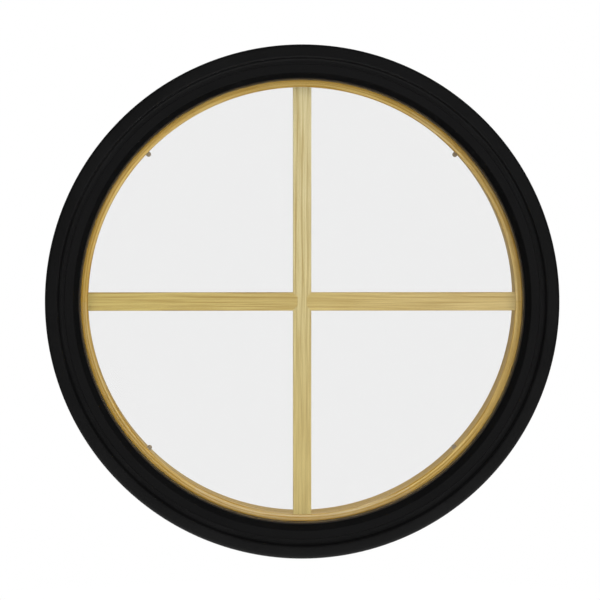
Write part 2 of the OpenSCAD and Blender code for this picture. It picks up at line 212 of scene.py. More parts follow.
class WINDOW_PG_stage(bpy.types.PropertyGroup):
    """Floor, light and camera."""

    floor_drop: length("Floor drop", "Height of the window above the floor", 320.0)
    floor_size: length("Floor size", "Width of the floor", 3600.0)
    fade_start: length("Fade start", "Where the floor begins to fade, from the middle", 500.0)
    fade_end: length("Fade end", "Where the floor has faded out, from the middle", 1500.0)
    floor_glow: number("Floor glow", "How far the floor's own white lifts its shade", 0.4)
    floor_pale: colour("Floor", "Pale floor", 0.97, 0.97, 0.97)
    floor_shade: colour("Floor, shaded", "Floor where it is a little darker", 0.95, 0.95, 0.95)
    floor_patches: number("Floor patches", "Pale and darker patches per metre of the floor", 3.0)
    camera_back: length("Camera distance", "Camera in front of the casing's rim", 2060.0)
    camera_up: length("Camera height", "Camera above the window's middle", 80.0)
    camera_side: length("Camera side", "Camera to the right of the window's middle", -44.0)
    aim_up: length("Aim height", "Point looked at, above the window's middle", 3.6)
    aim_side: length("Aim side", "Point looked at, right of the window's middle", -3.5)
    lens: bpy.props.FloatProperty(
        name="Lens", description="Focal length in mm", default=104.7, unit="CAMERA")
    key_power: watts("Key light", "Power of the light above the camera", 52.0)
    key_place: place("Key place", "Middle of the light above the camera", 0.45, -2.3, 1.4)
    key_size: extent("Key size", "Width and height of the light above the camera", 2.2, 0.9)
    left_power: watts("Left light", "Power of the light on the left", 35.0)
    right_power: watts("Right light", "Power of the light on the right", 42.0)
    side_place: place("Side place", "Middle of the right light, mirrored on the left", 1.25, -2.4, -0.5)
    side_size: extent("Side size", "Width and height of the side lights", 0.9, 2.0)
    room_power: watts("Room light", "Power of the light on the room side", 45.0)
    room_place: place("Room light place", "Middle of the light on the room side", 0.0, 2.2, 1.5)
    room_size: extent("Room light size", "Width and height of the room light", 2.4, 0.8)
    ambient: number("Ambient", "Soft light from all round", 0.32)
    room: number("Room", "What glossy finishes reflect", 0.08)


class WINDOW_PG_settings(bpy.types.PropertyGroup):
    """All settings of the window."""

    sizes: bpy.props.PointerProperty(type=WINDOW_PG_sizes)
    finish: bpy.props.PointerProperty(type=WINDOW_PG_finish)
    stage: bpy.props.PointerProperty(type=WINDOW_PG_stage)


# Meshes

def new_object(name, bm):
    """An object in the scene, made from a bmesh that is then freed."""
    mesh = bpy.data.meshes.new(name)
    bm.to_mesh(mesh)
    bm.free()
    item = bpy.data.objects.new(name, mesh)
    bpy.context.scene.collection.objects.link(item)
    return item


def finish_piece(name, bm, material, node):
    """Turns a bmesh into a smooth-shaded piece that rides on the window and stands for a node."""
    piece = new_object(name, bm)
    piece.data.shade_smooth()
    piece.data.set_sharp_from_angle(angle=SHARP_ANGLE)
    piece.data.materials.append(material)
    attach(piece, "root")
    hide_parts(node)


def paint(names, material):
    """Gives CAD nodes a finish."""
    for name in names:
        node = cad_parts[name]
        node.data.materials.clear()
        node.data.materials.append(material)


def spin_round(bm, geom, sizes):
    """Turns a section all round the axis, closes its seam and points its faces outwards."""
    before = set(bm.faces)
    bmesh.ops.spin(
        bm, geom=geom, cent=(0, 0, 0), axis=(0, 1, 0), angle=math.tau, steps=sizes.ring_steps,
        use_merge=True)
    bmesh.ops.remove_doubles(bm, verts=bm.verts, dist=MERGE_DISTANCE)
    faces = [face for face in bm.faces if face not in before]
    bmesh.ops.recalc_face_normals(bm, faces=faces)
    return faces


def turned(corners, sizes):
    """A bmesh ring: a closed section of corners, turned about the axis.

    A corner is a radius and a depth, and the radius of its round where it has one.
    """
    bm = bmesh.new()
    rounded = {}
    verts = []
    for radius, depth, *rounds in corners:
        vert = bm.verts.new((radius, depth, 0.0))
        verts.append(vert)
        for size in rounds:
            rounded.setdefault(size, []).append(vert)
    bm.faces.new(verts)
    for size in sorted(rounded):
        bmesh.ops.bevel(
            bm, geom=rounded[size], offset=size, offset_type="OFFSET", segments=sizes.round_steps,
            profile=0.5, affect="VERTICES", material=-1)
    bmesh.ops.delete(bm, geom=list(bm.faces), context="FACES_ONLY")
    spin_round(bm, list(bm.verts) + list(bm.edges), sizes)
    return bm


def hollow_out(bm, corners, sizes):
    """Adds a hollow of the given section inside a turned ring; its wall faces into the hollow."""
    verts = [bm.verts.new((radius, depth, 0.0)) for radius, depth in corners]
    edges = [bm.edges.new(pair) for pair in zip(verts, verts[1:] + verts[:1])]
    wall = spin_round(bm, verts + edges, sizes)
    bmesh.ops.reverse_faces(bm, faces=wall)


def drilled(bm, sizes, angles, inner, outer, depth, pin_d):
    """Cuts clear holes for round pins into a ring along its radii, each from one radius to another."""
    hole_r = (pin_d + 2 * sizes.fit_gap) / 2
    along = Matrix.Translation(((inner + outer) / 2, depth, 0)) @ Matrix.Rotation(math.pi / 2, 4, "Y")
    drill = bmesh.new()
    for angle in angles:
        bmesh.ops.create_cone(
            drill, cap_ends=True, segments=sizes.hole_steps, radius1=hole_r, radius2=hole_r,
            depth=outer - inner, matrix=Matrix.Rotation(-angle, 4, "Y") @ along)
    ring = new_object("ring", bm)
    cutter = new_object("cutter", drill)
    cut = ring.modifiers.new("holes", "BOOLEAN")
    cut.operation = "DIFFERENCE"
    cut.solver = "EXACT"
    cut.object = cutter
    bm = bmesh.new()
    bm.from_object(ring, bpy.context.evaluated_depsgraph_get())
    for item in (ring, cutter):
        bpy.data.meshes.remove(item.data)
    return bm


def even_angles(number_of_holes):
    """Angles spaced evenly all round, from the right."""
    return [i * math.tau / number_of_holes for i in range(number_of_holes)]


def middle_depth(node):
    """Depth of a node's middle."""
    low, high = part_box(node)
    return (low.y + high.y) / 2


# Shader helpers

def put(tree, kind, settings=None, sockets=None):
    """Adds a node; a socket's value is a constant or another node's socket to link."""
    node = tree.nodes.new(kind)
    for name, value in (settings or {}).items():
        setattr(node, name, value)
    for name, value in (sockets or {}).items():
        if isinstance(value, bpy.types.NodeSocket):
            tree.links.new(value, node.inputs[name])
        else:
            node.inputs[name].default_value = value
    return node


def put_group(tree, group, sockets):
    """Outputs of a node group placed in a tree."""
    return put(tree, "ShaderNodeGroup", {"node_tree": group}, sockets).outputs


def math_node(tree, operation, a, b=0.0):
    """Output of a Math node."""
    return put(tree, "ShaderNodeMath", {"operation": operation}, {0: a, 1: b}).outputs[0]


def stretched(tree, vector, scale):
    """A vector times a scale for each axis."""
    return put(tree, "ShaderNodeVectorMath", {"operation": "MULTIPLY"}, {0: vector, 1: scale}).outputs[0]


def distance(tree, a, b):
    """Length of a flat vector given by its two parts."""
    flat = put(tree, "ShaderNodeCombineXYZ", None, {0: a, 1: b}).outputs[0]
    return put(tree, "ShaderNodeVectorMath", {"operation": "LENGTH"}, {0: flat}).outputs["Value"]


def ranged(tree, value, span, to=(0.0, 1.0)):
    """A value taken smoothly from one span to another."""
    node = put(tree, "ShaderNodeMapRange", {"interpolation_type": "SMOOTHSTEP"}, {
        "Value": value, "From Min": span[0], "From Max": span[1], "To Min": to[0], "To Max": to[1]})
    return node.outputs[0]


def noise(tree, vector, scale, detail=2.0, turn=None):
    """Noise of a vector, in four dimensions if turn is given."""
    sockets = {"Vector": vector, "Scale": scale, "Detail": detail}
    if turn is not None:
        sockets["W"] = turn
    dimensions = "3D" if turn is None else "4D"
    return put(tree, "ShaderNodeTexNoise", {"noise_dimensions": dimensions}, sockets).outputs[0]


def blended(tree, factor, a, b):
    """Mix of two colours; a Mix node's colour sockets are 6 and 7, and its colour output 2."""
    return put(tree, "ShaderNodeMix", {"data_type": "RGBA"}, {0: factor, 6: a, 7: b}).outputs[2]


def new_group(name, inputs, outputs):
    """A shader node group with the named sockets; returns its tree, inputs and output node."""
    tree = bpy.data.node_groups.new(name, "ShaderNodeTree")
    for way, sockets in (("INPUT", inputs), ("OUTPUT", outputs)):
        for label, kind in sockets:
            tree.interface.new_socket(label, in_out=way, socket_type="NodeSocket" + kind)
    return tree, put(tree, "NodeGroupInput").outputs, put(tree, "NodeGroupOutput")


def rgba(value):
    """A colour property as a socket value."""
    return (*value, 1.0)


# Outputs of the shader groups that make a surface
SURFACE = [("Color", "Color"), ("Roughness", "Float"), ("Height", "Float")]


# Pine: patches per metre across, in depth and along the grain
WAVES = (60, 60, 7)
FIBRES = (760, 760, 14)
BLOTCHES = (34, 34, 5)

# Growth lines: their lean in depth, how many lines the waves shift them, and where late wood sets in
LINE_SLANT = 0.25
LINE_DRIFT = 3.4
LATE_WOOD = (0.5, 1.0)

# The blotches make the growth lines weaker or stronger, and the fibres draw streaks
BLOTCH_SPAN = (0.3, 0.7)
LINE_STRENGTH = (0.1, 0.5)
STREAK_SPAN = (0.32, 0.72)
STREAK_STRENGTH = 0.7

# Roughness along the fibres, and relief of the late wood
FIBRE_SPAN = (0.2, 0.8)
PINE_ROUGHNESS = (0.42, 0.62)
LATE_HEIGHT = 0.5
PINE_BUMP = 0.25

# Glue lines: their half width as a share of a glued length, and how dark they are
GLUE_LINE = (0.0, 0.0016)
GLUE_SHADE = (0.75, 0.0)


def pine_group():
    """Pine: growth lines and fibres across x and y, drawn out along z and Turn."""
    if "Pine grain" in bpy.data.node_groups:
        return bpy.data.node_groups["Pine grain"]
    tree, given, out = new_group(
        "Pine grain",
        [("Grain", "Vector"), ("Turn", "Float"), ("Growth", "Float"), ("Contrast", "Float"),
         ("Early", "Color"), ("Late", "Color")], SURFACE)

    def drawn_out(patches, detail):
        """Noise with so many patches per metre, drawn out along the grain."""
        turn = math_node(tree, "MULTIPLY", given["Turn"], patches[2])
        return noise(tree, stretched(tree, given["Grain"], patches), 1.0, detail, turn)

    parts = put(tree, "ShaderNodeSeparateXYZ", None, {0: given["Grain"]}).outputs
    slant = math_node(tree, "ADD", parts[0], math_node(tree, "MULTIPLY", parts[1], LINE_SLANT))
    drift = math_node(tree, "MULTIPLY", drawn_out(WAVES, 2.0), LINE_DRIFT)
    growth = math_node(tree, "ADD", math_node(tree, "MULTIPLY", slant, given["Growth"]), drift)
    late = ranged(tree, math_node(tree, "PINGPONG", growth, 1.0), LATE_WOOD)
    fibre = drawn_out(FIBRES, 3.0)
    blotch = ranged(tree, drawn_out(BLOTCHES, 1.0), BLOTCH_SPAN, LINE_STRENGTH)
    lines = math_node(tree, "MULTIPLY", late, math_node(tree, "MULTIPLY", blotch, given["Contrast"]))
    streak = math_node(tree, "MULTIPLY", ranged(tree, fibre, STREAK_SPAN), STREAK_STRENGTH)
    factor = math_node(tree, "ADD", lines, streak)
    height = math_node(tree, "ADD", fibre, math_node(tree, "MULTIPLY", late, LATE_HEIGHT))
    tree.links.new(blended(tree, factor, given["Early"], given["Late"]), out.inputs["Color"])
    tree.links.new(ranged(tree, fibre, FIBRE_SPAN, PINE_ROUGHNESS), out.inputs["Roughness"])
    tree.links.new(height, out.inputs["Height"])
    return tree


# Mottled finishes: the spans of the noise that count as a patch and as a speck
PATCH_SPAN = (0.42, 0.72)
SPECK_SPAN = (0.35, 0.7)


def mottled_group():
    """Two colours mottled at a coarse and a fine scale, for coated metal, rubber and granules."""
    if "Mottled" in bpy.data.node_groups:
        return bpy.data.node_groups["Mottled"]
    tree, given, out = new_group(
        "Mottled",
        [("Vector", "Vector"), ("Coarse", "Float"), ("Fine", "Float"), ("First", "Color"),
         ("Second", "Color"), ("Smooth", "Float"), ("Rough", "Float")], SURFACE)
    coarse = noise(tree, given["Vector"], given["Coarse"], detail=3.0)
    fine = noise(tree, given["Vector"], given["Fine"], detail=2.0)
    patches = ranged(tree, coarse, PATCH_SPAN)
    specks = ranged(tree, fine, SPECK_SPAN)
    share = math_node(tree, "MULTIPLY", math_node(tree, "ADD", patches, specks), 0.5)
    tree.links.new(blended(tree, share, given["First"], given["Second"]), out.inputs["Color"])
    span = math_node(tree, "SUBTRACT", given["Rough"], given["Smooth"])
    rough = math_node(tree, "ADD", given["Smooth"], math_node(tree, "MULTIPLY", span, share))
    tree.links.new(rough, out.inputs["Roughness"])
    tree.links.new(fine, out.inputs["Height"])
    return tree


def ring_group():
    """Places round the window's axis: radius, share of the way round, and the way the grain runs."""
    if "Ring places" in bpy.data.node_groups:
        return bpy.data.node_groups["Ring places"]
    tree, given, out = new_group(
        "Ring places", [("Vector", "Vector")],
        [("Grain", "Vector"), ("Across", "Float"), ("Radius", "Float"), ("Share", "Float")])
    parts = put(tree, "ShaderNodeSeparateXYZ", None, {0: given["Vector"]}).outputs
    radius = distance(tree, parts[0], parts[2])
    grain = put(tree, "ShaderNodeCombineXYZ", None, {0: radius, 1: parts[1], 2: parts[0]}).outputs[0]
    angle = math_node(tree, "ARCTAN2", parts[2], parts[0])
    share = math_node(tree, "ADD", math_node(tree, "DIVIDE", angle, math.tau), 0.5)
    tree.links.new(grain, out.inputs["Grain"])
    tree.links.new(parts[2], out.inputs["Across"])
    tree.links.new(radius, out.inputs["Radius"])
    tree.links.new(share, out.inputs["Share"])
    return tree


# Materials

def new_material(name):
    """A node material, its tree, its Principled shader and Object coordinates."""
    material = bpy.data.materials.new(name)
    material.use_nodes = True
    tree = material.node_tree
    shader = tree.nodes["Principled BSDF"]
    coords = put(tree, "ShaderNodeTexCoord").outputs["Object"]
    return material, tree, shader, coords


def dress(tree, shader, surface, bump, color=None):
    """Links a group's colour, roughness and height to a shader."""
    normal = put(tree, "ShaderNodeBump", None, {
        "Strength": bump, "Distance": BUMP_DEPTH, "Height": surface["Height"]}).outputs[0]
    tree.links.new(color or surface["Color"], shader.inputs["Base Color"])
    tree.links.new(surface["Roughness"], shader.inputs["Roughness"])
    tree.links.new(normal, shader.inputs["Normal"])


def mottled_material(name, first, second, coarse, fine, smooth, rough, bump, metallic=0.0, specular=0.5):
    """A finish in two close colours, with coarse patches and fine specks per metre."""
    material, tree, shader, coords = new_material(name)
    surface = put_group(tree, mottled_group(), {
        "Vector": coords, "Coarse": coarse, "Fine": fine, "First": rgba(first),
        "Second": rgba(second), "Smooth": smooth, "Rough": rough})
    dress(tree, shader, surface, bump)
    shader.inputs["Metallic"].default_value = metallic
    shader.inputs["Specular IOR Level"].default_value = specular
    return material


def black_material(finish):
    """Satin baked finish of the casing, which reflects little."""
    return mottled_material(
        "finish_black", finish.black, finish.black_worn, coarse=14.0, fine=1800.0,
        smooth=0.44, rough=0.58, bump=0.12, specular=0.2)


def bead_material(finish):
    """Duller baked finish of the bead, which hardly reflects."""
    return mottled_material(
        "finish_bead", finish.bead_black, finish.black_worn, coarse=14.0, fine=1800.0,
        smooth=0.6, rough=0.75, bump=0.12, specular=0.01)


def rubber_material(finish):
    """Matt rubber of the gasket, seals, blocks and tape."""
    return mottled_material(
        "finish_rubber", finish.rubber, finish.rubber_dusty, coarse=60.0, fine=900.0,
        smooth=0.7, rough=0.9, bump=0.3)


def granule_material(finish):
    """Drying granules in the spacer, with painted shade in the gaps between them."""
    return mottled_material(
        "desiccant_with_gap_shade", finish.desiccant, finish.desiccant_gap_shade, coarse=900.0, fine=2400.0,
        smooth=0.8, rough=0.95, bump=0.6)


def bronze_material(finish):
    """Bronzed sheet steel of the clips."""
    return mottled_material(
        "finish_bronze", finish.bronze, finish.bronze_worn, coarse=220.0, fine=2600.0,
        smooth=0.36, rough=0.55, bump=0.15, metallic=0.4)


def zinc_material(finish):
    """Dull zinc plating of the screws."""
    return mottled_material(
        "finish_zinc", finish.zinc, finish.zinc_dull, coarse=400.0, fine=3000.0,
        smooth=0.25, rough=0.45, bump=0.15, metallic=0.35)


def straight_pine(name, finish, order, seed, first, last, late):
    """Pine with straight grain, its pale wood drifting from the first to the last tone along it.

    The order names the axes across, in depth and along.
    """
    material, tree, shader, coords = new_material(name)
    parts = put(tree, "ShaderNodeSeparateXYZ", None, {0: coords}).outputs
    across, deep, along = (parts[axis] for axis in order)
    grain = put(tree, "ShaderNodeCombineXYZ", None, {0: across, 1: deep, 2: along}).outputs[0]
    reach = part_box("grille_surround")[1].x
    early = blended(tree, ranged(tree, along, (-reach, reach)), rgba(first), rgba(last))
    surface = put_group(tree, pine_group(), {
        "Grain": grain, "Turn": seed, "Growth": finish.bar_growth, "Contrast": finish.bar_contrast,
        "Early": early, "Late": rgba(late)})
    dress(tree, shader, surface, PINE_BUMP)
    return material


def ring_pine(name, finish, early, late, other, spread, lengths, seed, radii, outer_shade):
    """Pine round a ring, in glued lengths that lean towards another tone, with painted shade darkening its
    outside.

    The spread is how far the lengths lean, and outer_shade how dark the painted shade at the outside is.
    """
    material, tree, shader, coords = new_material(name)
    places = put_group(tree, ring_group(), {"Vector": coords})
    along = math_node(tree, "MULTIPLY", places["Share"], float(lengths))
    which = math_node(tree, "ADD", math_node(tree, "FLOOR", along), float(seed))
    tone = put(tree, "ShaderNodeTexWhiteNoise", {"noise_dimensions": "1D"}, {"W": which}).outputs[0]
    ground = blended(tree, math_node(tree, "MULTIPLY", tone, spread), rgba(early), rgba(other))
    # Painted shade: darker towards the outside radius, where the pieces in front shade the ring
    dark = ranged(tree, places["Radius"], radii, (0.0, outer_shade))
    surface = put_group(tree, pine_group(), {
        "Grain": places["Grain"], "Turn": places["Across"], "Growth": finish.ring_growth,
        "Contrast": finish.ring_contrast, "Early": blended(tree, dark, ground, rgba(late)),
        "Late": rgba(late)})
    joint = ranged(tree, math_node(tree, "PINGPONG", along, 0.5), GLUE_LINE, GLUE_SHADE)
    dress(tree, shader, surface, PINE_BUMP, blended(tree, joint, surface["Color"], rgba(late)))
    return material


def glass_material(finish, tinted):
    """Clear float glass, tinted between two radii at its edge, that lets light through."""
    material, tree, shader, coords = new_material("finish_glass")
    places = put_group(tree, ring_group(), {"Vector": coords})
    edge = ranged(tree, places["Radius"], tinted)
    color = blended(tree, edge, rgba(finish.glass), rgba(finish.glass_edge))
    tree.links.new(color, shader.inputs["Base Color"])
    shader.inputs["Roughness"].default_value = 0.0
    shader.inputs["IOR"].default_value = 1.5
    shader.inputs["Transmission Weight"].default_value = 1.0
    clear = put(tree, "ShaderNodeBsdfTransparent", None, {"Color": rgba(finish.glass)})
    light = put(tree, "ShaderNodeLightPath")
    mix = put(tree, "ShaderNodeMixShader", None, {
        0: light.outputs["Is Shadow Ray"], 1: shader.outputs[0], 2: clear.outputs[0]})
    tree.links.new(mix.outputs[0], tree.nodes["Material Output"].inputs["Surface"])
    return material


# Spacer: share of its tone that darker patches keep, its relief, and a slit's end as shares of the pitch
METAL_SHADE = 0.7
METAL_BUMP = 0.1
SLIT_END = (0.26, 0.32)


def spacer_material(sizes, finish, middle_y):
    """Mill aluminium darkened by painted shade, with two rows of breathing slits in painted shade on the
    face seen through the glass.
    """
    material, tree, shader, coords = new_material("aluminium_with_painted_shade")
    places = put_group(tree, ring_group(), {"Vector": coords})
    shade = [METAL_SHADE * value for value in finish.metal]
    surface = put_group(tree, mottled_group(), {
        "Vector": coords, "Coarse": 40.0, "Fine": 2500.0, "First": rgba(finish.metal),
        "Second": rgba(shade), "Smooth": 0.32, "Rough": 0.5})
    depth = put(tree, "ShaderNodeSeparateXYZ", None, {0: coords}).outputs[1]
    from_middle = math_node(tree, "ABSOLUTE", math_node(tree, "SUBTRACT", depth, middle_y))
    from_row = math_node(tree, "ABSOLUTE", math_node(tree, "SUBTRACT", from_middle, sizes.slit_row))
    row = ranged(tree, from_row, (sizes.slit_half, sizes.slit_fade), (1.0, 0.0))
    along = math_node(tree, "MULTIPLY", places["Share"], float(finish.perforations))
    slit = ranged(tree, math_node(tree, "PINGPONG", along, 0.5), SLIT_END)
    # The slits are painted in the rubber's near-black as the shade inside their openings
    hole = math_node(tree, "MULTIPLY", row, slit)
    dress(tree, shader, surface, METAL_BUMP, blended(tree, hole, surface["Color"], rgba(finish.rubber)))
    shader.inputs["Metallic"].default_value = 0.7
    return material


def floor_material(stage):
    """Pale floor that glows a little to the camera and fades out away from the middle."""
    material, tree, shader, coords = new_material("floor")
    parts = put(tree, "ShaderNodeSeparateXYZ", None, {0: coords}).outputs
    patches = noise(tree, coords, stage.floor_patches)
    color = blended(tree, patches, rgba(stage.floor_shade), rgba(stage.floor_pale))
    tree.links.new(color, shader.inputs["Base Color"])
    shader.inputs["Roughness"].default_value = 0.9
    shader.inputs["Specular IOR Level"].default_value = 0.0
    light = put(tree, "ShaderNodeLightPath").outputs
    seen = math_node(tree, "MAXIMUM", light["Is Camera Ray"], light["Is Transmission Ray"])
    shown = math_node(tree, "MULTIPLY", seen, stage.floor_glow)
    glow = put(tree, "ShaderNodeEmission", None, {"Strength": shown})
    lit = put(tree, "ShaderNodeAddShader", None, {0: shader.outputs[0], 1: glow.outputs[0]})
    clear = put(tree, "ShaderNodeBsdfTransparent")
    fade = ranged(tree, distance(tree, parts[0], parts[1]), (stage.fade_start, stage.fade_end))
    mix = put(tree, "ShaderNodeMixShader", None, {0: fade, 1: lit.outputs[0], 2: clear.outputs[0]})
    tree.links.new(mix.outputs[0], tree.nodes["Material Output"].inputs["Surface"])
    return material


# Operators

class WindowOperator:
    """What the window's operators share."""

    bl_options = {"REGISTER", "UNDO"}

    def settings(self, context):
        """The sizes and finish settings."""
        return context.scene.round_window.sizes, context.scene.round_window.finish


class WINDOW_OT_casing(WindowOperator, bpy.types.Operator):
    """Black exterior casing: rounded rim, cove and face, open at the back"""

    bl_idname = "window.casing"
    bl_label = "Exterior Casing"

    def execute(self, context):
        sizes, finish = self.settings(context)
        low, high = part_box("exterior_casing")
        jamb_low, jamb_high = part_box("jamb")
        wall = sizes.casing_wall
        outer, rim_y, foot_y = high.x, low.y, high.y
        rim_inner = outer - sizes.rim_w
        foot_inner = outer - sizes.foot_w
        face_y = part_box("glazing_bead")[0].y
        front = jamb_low.y
        rabbet = jamb_high.x - sizes.rabbet_wall
        leg = rabbet - sizes.fit_gap
        leg_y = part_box("outer_pane")[0].y - sizes.leg_gap
        inner = rabbet + wall
        snap = inner + sizes.snap_depth
        rib = jamb_high.x - sizes.relief + sizes.joint
        rib_y = front + sizes.rib_reach
        groove = front - wall - sizes.groove_land
        corners = [
            (outer, foot_y), (outer, rim_y, sizes.rim_corner), (rim_inner, rim_y, sizes.rim_round),
            (rim_inner, face_y, sizes.cove_r), (inner, face_y), (inner, groove - sizes.groove_w),
            (snap, groove - sizes.groove_w), (snap, groove), (inner, groove), (inner, front - wall),
            (leg - wall, front - wall), (leg - wall, leg_y), (leg, leg_y), (leg, front),
            (inner + wall, front), (inner + wall, face_y + wall), (rib, face_y + wall), (rib, rib_y),
            (rib + wall, rib_y), (rib + wall, rim_y + wall),
            (outer - wall, rim_y + wall, sizes.rim_corner - wall), (outer - wall, foot_y - wall),
            (foot_inner, foot_y - wall), (foot_inner, foot_y)]
        bm = drilled(
            turned(corners, sizes), sizes, even_angles(sizes.screw_count), leg - wall - sizes.fit_gap,
            leg + sizes.fit_gap, middle_depth("casing_screws"), sizes.screw_d)
        finish_piece("casing_ring", bm, black_material(finish), "exterior_casing")
        return {"FINISHED"}


class WINDOW_OT_bead(WindowOperator, bpy.types.Operator):
    """Black glazing bead with a sloped reveal down to the glass"""

    bl_idname = "window.bead"
    bl_label = "Glazing Bead"

    def execute(self, context):
        sizes, finish = self.settings(context)
        low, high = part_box("glazing_bead")
        jamb_low, jamb_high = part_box("jamb")
        wall = sizes.bead_wall
        face_y, toe_y = low.y, high.y
        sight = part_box("bead_gasket")[1].x - sizes.toe_w
        reveal = sight + sizes.reveal_run
        outer = jamb_high.x - sizes.rabbet_wall + sizes.casing_wall - sizes.joint
        web_y = jamb_low.y - sizes.casing_wall
        barb_y = web_y - sizes.groove_land - sizes.groove_w + sizes.fit_gap
        end_y = web_y - sizes.joint
        lean = sizes.reveal_run / (toe_y - face_y)
        back = wall * math.hypot(1.0, lean)
        corners = [
            (outer, face_y), (reveal, face_y, sizes.bead_round), (sight, toe_y),
            (sight + sizes.toe_w, toe_y), (sight + sizes.toe_w, toe_y - wall),
            (sight + back + wall * lean, toe_y - wall), (reveal + back - wall * lean, face_y + wall),
            (outer - wall, face_y + wall), (outer - wall, end_y), (outer - wall / 2, end_y),
            (high.x, barb_y), (outer, barb_y)]
        bm = turned(corners, sizes)
        finish_piece("bead_ring", bm, bead_material(finish), "glazing_bead")
        return {"FINISHED"}


class WINDOW_OT_glazing(WindowOperator, bpy.types.Operator):
    """Glass panes, the perforated spacer between them, and the seals"""

    bl_idname = "window.glazing"
    bl_label = "Double Glazing"

    def execute(self, context):
        sizes, finish = self.settings(context)
        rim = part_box("outer_pane")[1].x
        paint(PANES, glass_material(finish, (rim - sizes.edge_tint, rim)))
        bm = turned(self.spacer_section(sizes, 0.0), sizes)
        hollow_out(bm, self.spacer_section(sizes, sizes.spacer_wall), sizes)
        metal = spacer_material(sizes, finish, middle_depth("spacer_bar"))
        finish_piece("spacer_ring", bm, metal, "spacer_bar")
        seals = ["bead_gasket", "butyl_seals", "edge_sealant", "setting_block_left",
                 "setting_block_right", "glazing_tape"]
        paint(seals, rubber_material(finish))
        paint(["desiccant_fill"], granule_material(finish))
        return {"FINISHED"}

    def spacer_section(self, sizes, inset):
        """Section of the spacer, with chamfered back corners, drawn in by a thickness."""
        low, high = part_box("spacer_bar")
        chamfer = sizes.spacer_chamfer - inset * (2 - math.sqrt(2))
        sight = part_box("bead_gasket")[1].x - sizes.toe_w - sizes.spacer_show + inset
        outer = high.x - inset
        front, back = low.y + inset, high.y - inset
        return [
            (sight, front), (outer - chamfer, front), (outer, front + chamfer),
            (outer, back - chamfer), (outer - chamfer, back), (sight, back)]


class WINDOW_OT_jamb(WindowOperator, bpy.types.Operator):
    """Pine jamb, a deep ring with a glazing rabbet"""

    bl_idname = "window.jamb"
    bl_label = "Jamb"

    def execute(self, context):
        sizes, finish = self.settings(context)
        low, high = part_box("jamb")
        bore = high.x - sizes.bore_t
        rabbet = high.x - sizes.rabbet_wall
        relieved = high.x - sizes.relief
        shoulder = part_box("glazing_tape")[1].y
        wall_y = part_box("exterior_casing")[1].y
        corners = [
            (rabbet, low.y), (relieved, low.y), (relieved, wall_y), (high.x, wall_y),
            (high.x, high.y, sizes.jamb_ease), (bore, high.y, sizes.jamb_ease),
            (bore, shoulder, sizes.jamb_ease / 2), (rabbet, shoulder)]
        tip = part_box("casing_screws")[1].x + sizes.fit_gap
        bm = drilled(
            turned(corners, sizes), sizes, even_angles(sizes.screw_count), rabbet - sizes.fit_gap, tip,
            middle_depth("casing_screws"), sizes.screw_d)
        clip = sizes.clip_angle
        bm = drilled(
            bm, sizes, [clip, math.pi - clip, math.pi + clip, -clip], bore - sizes.fit_gap,
            bore + sizes.clip_screw_l, middle_depth("clip_screws"), sizes.screw_d)
        # The jamb gets a little painted shade towards its outside radius, under the casing
        pine = ring_pine(
            "pine_jamb_with_shade", finish, finish.jamb_early, finish.jamb_late, finish.jamb_late, spread=0.5,
            lengths=finish.jamb_lengths, seed=0, radii=(bore, high.x), outer_shade=0.15)
        finish_piece("jamb_ring", bm, pine, "jamb")
        return {"FINISHED"}


class WINDOW_OT_grille(WindowOperator, bpy.types.Operator):
    """Pine grille: surround, upright bar, two half bars and their dowels"""

    bl_idname = "window.grille"
    bl_label = "Grille"

    def execute(self, context):
        sizes, finish = self.settings(context)
        self.surround(sizes, finish)
        upright = finish.upright_low, finish.upright_high, finish.upright_late
        level = finish.level_left, finish.level_right, finish.level_late
        bars = [
            ("grille_bar_vertical", "pine_upright", "XYZ", 0.0, upright),
            ("grille_bar_left", "pine_left", "ZYX", 3.0, level),
            ("grille_bar_right", "pine_right", "ZYX", 7.0, level),
            ("grille_dowels", "pine_dowels", "XYZ", 5.0, level)]
        for node, name, order, seed, tones in bars:
            paint([node], straight_pine(name, finish, order, seed, *tones))
        return {"FINISHED"}

    def surround(self, sizes, finish):
        """The ring round the bars, bevelled towards the room, with a dowel hole at each bar's end."""
        low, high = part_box("grille_surround")
        inner = high.x - sizes.surround_w
        corners = [
            (inner, low.y, sizes.bar_ease), (high.x, low.y, sizes.bar_ease), (high.x, high.y),
            (inner + sizes.surround_bevel, high.y), (inner, high.y - sizes.bevel_depth)]
        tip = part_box("grille_dowels")[1].x + sizes.fit_gap
        bm = drilled(
            turned(corners, sizes), sizes, even_angles(BAR_ENDS), inner - sizes.fit_gap, tip,
            middle_depth("grille_dowels"), sizes.dowel_d)
        # The surround's deep orange tones are partly painted shade, and its outside gets strong painted
        # shade beside the spacer and bead
        pine = ring_pine(
            "pine_surround_with_shade", finish, finish.ring_early_shaded, finish.ring_late_shaded, finish.ring_pale, spread=0.95,
            lengths=finish.ring_lengths, seed=finish.ring_seed, radii=(inner, high.x), outer_shade=0.6)
        finish_piece("surround_ring", bm, pine, "grille_surround")


class WINDOW_OT_fittings(WindowOperator, bpy.types.Operator):
    """Finishes of the four grille clips and all the screws"""

    bl_idname = "window.fittings"
    bl_label = "Clips and Screws"

    def execute(self, context):
        finish = context.scene.round_window.finish
        corners = ["upper_left", "upper_right", "lower_left", "lower_right"]
        paint(["grille_clip_" + corner for corner in corners], bronze_material(finish))
        paint(["casing_screws", "clip_screws"], zinc_material(finish))
        return {"FINISHED"}


